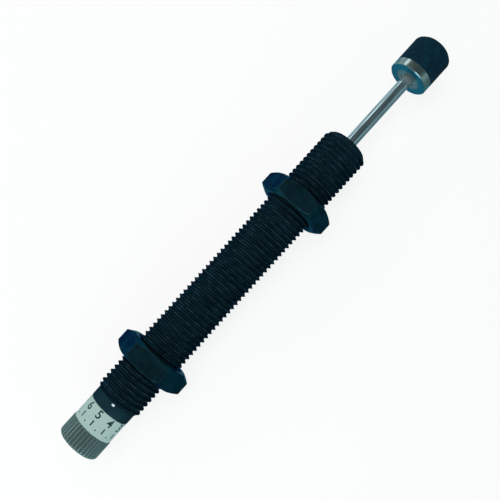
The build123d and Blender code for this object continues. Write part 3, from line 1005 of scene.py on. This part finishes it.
@dataclass
class Adjuster:
    """The fluted knob and the dial band in front of it."""

    span: Extent
    ring: Extent
    hub_r: float = 5.3
    hole_r: float = 2.02
    end_wall: float = 1.5
    end_ring_r: float = 2.5
    end_flat: float = 0.4
    edge_r: float = 0.9
    grip_edge: float = 0.12
    flutes: int = 36
    flute_r: float = 0.3
    steps_per_flute: int = 10
    band_gap: float = 0.02
    band_edge: float = 0.08
    band_steps: int = 160
    screw_r: float = 1.25
    screw_depth: float = 8.0
    screw_z: float = -6.0
    settings: int = 10
    rest_setting: int = 5
    zero_shift: float = -4.7
    digit_x: float = 4.99
    digit_size: float = 3.3
    digit_bolder: float = 0.05
    tick_x: float = 2.25
    tick_size: Point = (0.38, 1.6)
    dot_x: float = 1.39
    dot_r: float = 0.21
    ink_proud: float = 0.012

    def knob_outline(self) -> list[Point]:
        """The knob's outline, with a rounded rear edge."""
        back, radius, edge = self.span.back, self.span.radius, self.edge_r
        grip_front, hole_end = self.ring.back, back + self.end_wall
        corner = [
            (back + edge * (1 - math.sin(a)), radius - edge * (1 - math.cos(a)))
            for a in (math.radians(90 - 15 * k) for k in range(7))
        ]
        return [
            (back, 0.0), (back, self.end_ring_r), (back, radius - edge - self.end_flat), *corner,
            (grip_front - self.grip_edge, radius), (grip_front, radius - self.grip_edge),
            (grip_front, self.hub_r), (self.span.front, self.hub_r),
            (self.span.front, self.hole_r), (hole_end, self.hole_r), (hole_end, 0.0),
        ]

    def fluted(self, vert: Vert) -> None:
        """Presses a vertex of the grip down into the nearest flute."""
        radius, outer = radius_of(vert), self.span.radius
        if vert.co.x > self.ring.back + 0.01 or radius < outer - self.edge_r - 0.1:
            return
        step = TURN / self.flutes
        turn = math.atan2(vert.co.y, vert.co.z)
        across = outer * ((turn + step / 2) % step - step / 2)
        if abs(across) < self.flute_r:
            limit = outer - math.sqrt(self.flute_r ** 2 - across ** 2)
            set_radius(vert, min(radius, limit))

    def knob(self) -> None:
        """Makes the knob and drills the hole for its set screw."""
        mesh = turned(self.knob_outline(), self.flutes * self.steps_per_flute)
        for vert in mesh.verts:
            self.fluted(vert)
        face_outwards(mesh)
        drill = bmesh.new()
        bmesh.ops.create_cone(
            drill, cap_ends=True, segments=40,
            radius1=self.screw_r, radius2=self.screw_r, depth=self.screw_depth,
        )
        screw_x = (self.span.back + self.ring.back) / 2
        bmesh.ops.translate(drill, vec=(screw_x, 0, self.screw_z), verts=drill.verts)
        drilled = cut_away(mesh, drill)
        finished("fluted_knob", drilled, Body.ADJUSTER, KNOB_METAL, ["adjuster_knob"], sharp_angle=50.0)

    def band(self) -> None:
        """Makes the plain band under the scale."""
        edge = self.band_edge
        back, front, radius = self.ring.back, self.ring.front, self.ring.radius
        bore_r = self.hub_r + self.band_gap
        outline = [
            (back, bore_r), (back, radius - edge), (back + edge, radius),
            (front - edge, radius), (front, radius - edge), (front, bore_r),
        ]
        mesh = turned(outline, self.band_steps)
        finished("dial_ring", mesh, Body.ADJUSTER, BAND_METAL, ["dial_band"])

    def mark(self, name: str, mesh: Mesh, spot: Point) -> None:
        """Prints one mark on the band, its place counted from the band's rear edge."""
        printed(mesh, (self.ring.back + spot[0], spot[1]), self.ring.radius, self.ink_proud)
        finished(name, mesh, Body.ADJUSTER, SCALE_INK)

    def scale(self) -> None:
        """Prints the ticks, the half-way dots and the digits."""
        step = 360 / self.settings
        for number in range(self.settings):
            angle = step * (self.rest_setting - number) + self.zero_shift
            self.mark(f"tick_{number}", flat_bar(*self.tick_size), (self.tick_x, angle))
            dot = bmesh.new()
            bmesh.ops.create_circle(dot, cap_ends=True, segments=16, radius=self.dot_r)
            self.mark(f"dot_{number}", dot, (self.dot_x, angle + step / 2))
            digit = flat_digit(number, self.digit_size, self.digit_bolder)
            self.mark(f"digit_{number}", digit, (self.digit_x, angle))

    def build(self) -> None:
        """Makes the knob, the band and its scale."""
        self.knob()
        self.band()
        self.scale()


@dataclass
class Bumper:
    """The rod's outer end: steel cap and rubber pad."""

    cap_span: Extent
    pad_span: Extent
    cap_edge: float = 0.28
    pad_chamfer: float = 1.2
    pad_front_edge: float = 0.4
    pad_back_edge: float = 0.1
    recess_r: float = 2.1
    recess_depth: float = 0.35
    recess_edge: float = 0.12
    rod_hole_r: float = 1.77
    rod_in_cap: float = 2.02
    stud_r: float = 2.5
    stud_head_r: float = 3.3
    stud_length: float = 3.0
    stud_head: float = 1.2
    gap: float = 0.02

    def cap(self) -> None:
        """Makes the cap with its stud."""
        back, front, radius = self.cap_span.back, self.pad_span.back, self.cap_span.radius
        floor, stud_end = back + self.recess_depth, front + self.stud_length
        head = front + self.stud_length - self.stud_head
        mesh = turned([
            (back + self.rod_in_cap, 0.0), (back + self.rod_in_cap, self.rod_hole_r),
            (floor, self.rod_hole_r), (floor, self.recess_r), (back, self.recess_r), (back, radius),
            (front, radius), (front, self.stud_r), (head, self.stud_r), (head, self.stud_head_r),
            (stud_end, self.stud_head_r), (stud_end, 0.0),
        ])
        bevel_edges(mesh, self.cap_edge, lambda x, r: r > radius - 0.1 and x < back + 0.5, segments=1)
        bevel_edges(mesh, self.recess_edge, lambda x, r: abs(r - self.recess_r) < 0.1)
        finished("bumper_cap_turned", mesh, Body.ROD, TURNED_CAP, ["bumper_cap"], weighted=True)

    def pad(self) -> None:
        """Makes the rubber pad over the stud."""
        back, front, radius = self.pad_span.back, self.pad_span.front, self.pad_span.radius
        stud_end = back + self.stud_length
        head = stud_end - self.stud_head - self.gap
        chamfer = self.pad_chamfer
        mesh = turned([
            (back, self.stud_r + self.gap), (back, radius),
            (front - chamfer, radius), (front, radius - chamfer), (front, 2.0), (front, 0.0),
            (stud_end + self.gap, 0.0), (stud_end + self.gap, self.stud_head_r + self.gap),
            (head, self.stud_head_r + self.gap), (head, self.stud_r + self.gap),
        ])
        bevel_edges(
            mesh, self.pad_front_edge, lambda x, r: x > front - chamfer - 0.1 and r > 3, segments=4
        )
        bevel_edges(mesh, self.pad_back_edge, lambda x, r: x < back + 0.1 and r > 5)
        finished("bumper_pad_rubber", mesh, Body.ROD, MOULDED_PAD, ["bumper_pad"], weighted=True)

    def build(self) -> None:
        """Makes the cap and the pad."""
        self.cap()
        self.pad()


@dataclass
class Rod:
    """The polished rod and its tail."""

    span: Extent
    shoulder: float
    tail_r: float = 1.25
    edge: float = 0.1
    steps: int = 128
    slice_length: float = 2.0

    def build(self) -> None:
        """Makes the rod."""
        back, front, radius, edge = self.span.back, self.span.front, self.span.radius, self.edge
        outline = [
            (back, 0.0), (back, self.tail_r - edge), (back + edge, self.tail_r),
            (self.shoulder, self.tail_r), (self.shoulder, radius),
            (front - edge, radius), (front, radius - edge), (front, 0.0),
        ]
        mesh = turned(outline, self.steps)
        slice_across(mesh, [self.slice_length * k for k in range(-12, 14)])
        finished("polished_rod", mesh, Body.ROD, GROUND_ROD, ["piston_rod"])


@dataclass
class Spring:
    """The return spring inside the pressure tube, which shortens with the stroke."""

    span: Extent
    wire_r: float = 0.275
    wire_steps: int = 10
    turns: int = 10
    steps: int = 32
    stroke: float = 25.0

    def build(self) -> None:
        """Makes the coil and gives it a mesh of its own."""
        start, rise = self.span.back + self.wire_r, self.span.front - self.span.back - 2 * self.wire_r
        mesh = bmesh.new()
        bmesh.ops.create_circle(mesh, cap_ends=True, segments=self.wire_steps, radius=self.wire_r)
        stand_up(mesh, mesh.verts[:], math.pi / 2)
        bmesh.ops.translate(mesh, vec=(start, 0, self.span.radius - self.wire_r), verts=mesh.verts)
        steps = self.steps * self.turns
        spin(mesh, mesh.faces[:], steps, TURN * self.turns, advance=rise / self.turns / self.steps)
        face_outwards(mesh)
        piece = finished("coil_spring", mesh, Body.HOUSING, COIL_WIRE, ["return_spring"])
        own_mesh(piece)


def stand_up(mesh: Mesh, verts: list[Vert], angle: float) -> None:
    """Turns vertices about the X axis, by an angle in radians."""
    bmesh.ops.rotate(mesh, verts=verts, cent=ORIGIN, matrix=Matrix.Rotation(angle, 3, "X"))


@dataclass
class MeteringSleeve:
    """The sleeve round the pressure tube, with a slot for each metering hole."""

    span: Extent
    bore_r: float = 4.7
    cut_past: float = 0.5
    slots: int = 5
    slot_width: float = 1.4
    slot_turn: float = math.radians(110)
    slot_step: float = math.radians(36)
    slot_facets: int = 44
    past_slot: float = 2.5
    reach: float = 19.8
    shrink: float = 0.82

    def places(self) -> list[float]:
        """Where the slots lie along the axis, closer together towards the rear."""
        first = self.span.front - self.past_slot - self.slot_width / 2
        shares = [1 - self.shrink**k for k in range(self.slots)]
        return [first - self.reach * share / shares[-1] for share in shares]

    def cutter(self) -> Mesh:
        """Makes the parts of rings that cut the slots, each a step further round than the last."""
        mesh = bmesh.new()
        low, high = self.bore_r - self.cut_past, self.span.radius + self.cut_past
        half = self.slot_width / 2
        for number, place in enumerate(self.places()):
            corners = [(place - half, low), (place + half, low), (place + half, high), (place - half, high)]
            verts = [mesh.verts.new((x, 0.0, radius)) for x, radius in corners]
            stand_up(mesh, verts, -self.slot_turn / 2 - self.slot_step * number)
            spin(mesh, [mesh.faces.new(verts)], self.slot_facets, self.slot_turn)
        face_outwards(mesh)
        return mesh

    def build(self) -> None:
        """Makes the sleeve and cuts its slots."""
        back, front, radius = self.span.back, self.span.front, self.span.radius
        sleeve = turned([(back, self.bore_r), (back, radius), (front, radius), (front, self.bore_r)])
        slotted = cut_away(sleeve, self.cutter())
        finished("slotted_sleeve", slotted, Body.ADJUSTER, TURNED_STEEL, ["metering_sleeve"])


@dataclass
class CarriedOver:
    """The nodes that keep their own shape and only get a finish."""

    nodes: dict[Finish, tuple[str, ...]] = field(
        default_factory=lambda: {
            RING_WIRE: ("retaining_ring", "knob_set_screw"),
            TURNED_STEEL: (
                "gland_washer", "pressure_tube", "stop_pin", "fill_ball", "adjuster_stem",
                "spring_seat", "piston_head", "piston_nut",
            ),
            BEARING_BRONZE: ("rod_bearing", "piston_ring"),
            SOFT_SEAL: ("rod_wiper", "rod_seal", "bearing_o_ring", "stem_o_ring"),
            FOAM_SLEEVE: ("accumulator_foam",),
        }
    )

    def dress(self) -> None:
        """Gives each node its finish."""
        for finish, nodes in self.nodes.items():
            for node in nodes:
                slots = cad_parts[node].data.materials
                slots.clear()
                slots.append(finish.material())
                log.info("%s: finish %s", node, finish.name)


def stand(thing: bpy.types.Object, place_mm: Place, target_mm: Place, turn: float = 0.0) -> None:
    """Stands a lamp or a camera at a place and points it at another.

    Args:
        thing: The lamp or the camera.
        place_mm: Where it stands.
        target_mm: What it points at.
        turn: How far the X axis is turned up from the right in its view, in radians.
    """
    place = Vector(place_mm)
    back = (place - Vector(target_mm)).normalized()
    along = Vector(AXIS) - back * back.x
    along.normalize()
    across = back.cross(along)
    right = along * math.cos(turn) - across * math.sin(turn)
    up = along * math.sin(turn) + across * math.cos(turn)
    thing.location = place * MM
    thing.rotation_mode = "QUATERNION"
    thing.rotation_quaternion = Matrix((right, up, back)).transposed().to_quaternion()


@dataclass
class Lamp:
    """A soft square lamp that looks at the object's middle."""

    name: str
    place_mm: Place
    size_mm: Point
    radiance: float
    colour: Colour = WHITE
    in_reflections: bool = True
    aim_mm: Place = (-40.0, 0.0, 0.0)

    def build(self) -> None:
        """Makes the lamp."""
        data = bpy.data.lights.new(self.name, "AREA")
        data.shape = "RECTANGLE"
        data.size, data.size_y = (side * MM for side in self.size_mm)
        data.energy = self.radiance * math.pi * data.size * data.size_y
        data.color = self.colour
        lamp = placed(self.name, data)
        lamp.visible_glossy = self.in_reflections
        stand(lamp, self.place_mm, self.aim_mm)


@dataclass
class Studio:
    """Floor, lamps, surroundings and camera."""

    floor_z: float = -9.5
    floor_size: float = 6000.0
    floor_colour: Colour = (0.9, 0.9, 0.9)
    floor_glow: float = 0.85
    card_y_mm: Point = (-4.0, -22.0)
    card_colour: Colour = (0.2, 0.32, 0.35)
    sky_turn: Point = (-0.15, 0.15)
    left_sky: Stops = (
        (0.0, (0.55, 0.72, 0.77)),
        (0.2, (0.55, 0.72, 0.77)),
        (0.45, (0.5, 0.54, 0.56)),
        (0.65, (0.27, 0.29, 0.3)),
        (1.0, (0.17, 0.195, 0.2)),
    )
    right_sky: Stops = (
        (0.0, (0.3, 0.44, 0.48)),
        (0.2, (0.42, 0.58, 0.62)),
        (0.42, (0.62, 0.78, 0.82)),
        (0.62, (0.26, 0.33, 0.35)),
        (0.78, (0.13, 0.18, 0.19)),
        (1.0, (0.17, 0.195, 0.2)),
    )
    camera_mm: Place = (-56.9, -13.0, 169.07)
    target_mm: Place = (-40.2, 0.69, 0.0)
    axis_turn: float = 47.835
    lens: float = 44.63

    def floor(self) -> None:
        """Makes the floor: white to the eye, greyer to the right in reflections, with a shadow."""
        mesh = bmesh.new()
        bmesh.ops.create_grid(mesh, x_segments=1, y_segments=1, size=self.floor_size / 2)
        bmesh.ops.translate(mesh, vec=(0, 0, self.floor_z), verts=mesh.verts)
        bmesh.ops.scale(mesh, vec=(MM, MM, MM), verts=mesh.verts)
        material = bpy.data.materials.new("floor_white")
        graph = Graph(material, "ShaderNodeOutputMaterial")
        _, y, _ = graph.split(graph.place())
        mirrored = graph.ray("Glossy")
        shown = graph.mix(y.ramp(*self.card_y_mm) * mirrored, WHITE, self.card_colour)
        matte = graph.node("ShaderNodeBsdfDiffuse", {}, {"Color": self.floor_colour})
        glow = graph.node("ShaderNodeEmission", {}, {"Color": shown, "Strength": 1.0})
        seen = graph.maths("MAXIMUM", graph.ray("Camera"), mirrored)
        seen = graph.maths("MAXIMUM", seen, graph.ray("Transmission"))
        graph.show(graph.node("ShaderNodeMixShader", {}, {0: seen * self.floor_glow, 1: matte, 2: glow}))
        data = kept("floor", mesh)
        data.materials.append(material)
        placed("floor", data)

    def surroundings(self) -> None:
        """White to the eye; in reflections pale at the horizon, darker overhead and to the right."""
        world = bpy.data.worlds.new("studio")
        bpy.context.scene.world = world
        graph = Graph(world, "ShaderNodeOutputWorld")
        _, y, z = graph.split(graph.node("ShaderNodeTexCoord", {}, {}, "Generated"))
        low, high = self.sky_turn
        side = graph.node("ShaderNodeMapRange", {}, {"Value": y, "From Min": low, "From Max": high})
        right = graph.node("ShaderNodeValToRGB", {"stops": self.right_sky}, {0: z})
        left = graph.node("ShaderNodeValToRGB", {"stops": self.left_sky}, {0: z})
        shown = graph.mix(graph.ray("Camera"), graph.mix(side, right, left), WHITE)
        graph.show(graph.node("ShaderNodeBackground", {}, {"Color": shown}))

    def lamps(self) -> None:
        """A long key lamp and a side lamp to the left, a weak fill to the right, one behind the knob."""
        Lamp("key", (-40.0, 80.0, 300.0), (380.0, 160.0), 2.8, (1.0, 1.0, 0.98), False).build()
        Lamp("fill", (-60.0, -260.0, 150.0), (300.0, 160.0), 0.45, (0.7, 0.93, 1.0), False).build()
        Lamp("side", (0.0, 262.0, 130.0), (480.0, 80.0), 1.8).build()
        Lamp("rear", (-260.0, -95.0, 95.0), (90.0, 180.0), 4.5).build()

    def camera(self) -> None:
        """Sets the camera where the photograph was taken from."""
        data = bpy.data.cameras.new("camera")
        data.sensor_width = 36.0
        data.lens = self.lens
        data.clip_start = 0.005
        data.clip_end = 20.0
        camera = placed("camera", data)
        stand(camera, self.camera_mm, self.target_mm, math.radians(self.axis_turn))
        bpy.context.scene.camera = camera

    def build(self) -> None:
        """Makes the studio."""
        self.floor()
        self.surroundings()
        self.lamps()
        self.camera()
        bpy.context.scene.view_settings.view_transform = "Standard"


def main() -> None:
    """Builds the absorber and its studio."""
    logging.basicConfig(level=logging.INFO, format="%(name)s: %(message)s")
    barrel = Barrel(extent("body_tube"))
    barrel.build()
    barrel.index_dot()
    LockNut("front_nut_hex", "front_lock_nut", Body.FRONT_NUT).build()
    LockNut("rear_nut_hex", "rear_lock_nut", Body.REAR_NUT).build()
    Adjuster(extent("adjuster_knob"), extent("dial_band")).build()
    Rod(extent("piston_rod"), extent("piston_head").front).build()
    Bumper(extent("bumper_cap"), extent("bumper_pad")).build()
    Spring(extent("return_spring")).build()
    MeteringSleeve(extent("metering_sleeve")).build()
    CarriedOver().dress()
    Studio().build()


if __name__ == "__main__":
    main()
